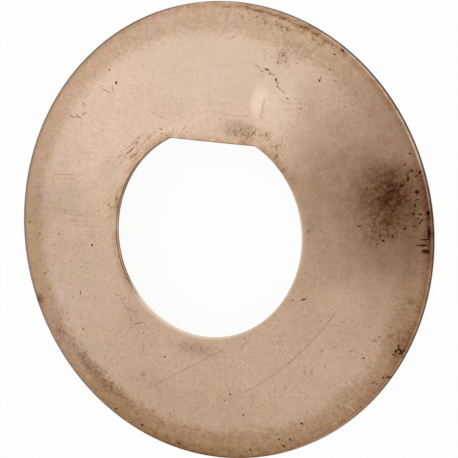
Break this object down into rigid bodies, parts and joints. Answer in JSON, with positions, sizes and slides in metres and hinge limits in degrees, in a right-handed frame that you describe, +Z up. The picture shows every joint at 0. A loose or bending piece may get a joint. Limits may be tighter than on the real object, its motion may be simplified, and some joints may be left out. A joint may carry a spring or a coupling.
{
  "type": "thrust washer",
  "caption": "Domed thrust washer of thin bronze sheet with a D-shaped hole, which bears between a gear's rounded back and its housing.",
  "frame": {"origin": "middle of the circle on which the washer's outer rim rests", "axes": "+Z up along the washer's axis, out of the crowned face; +Y towards the flat of the D-shaped hole"},
  "size_m": [0.08, 0.08, 0.0063],
  "materials": {
    "bronze": "rolled and pressed bronze sheet, dulled and stained by use"
  },
  "bodies": {
    "root": {"washer": "bronze"}
  },
  "joints": []
}
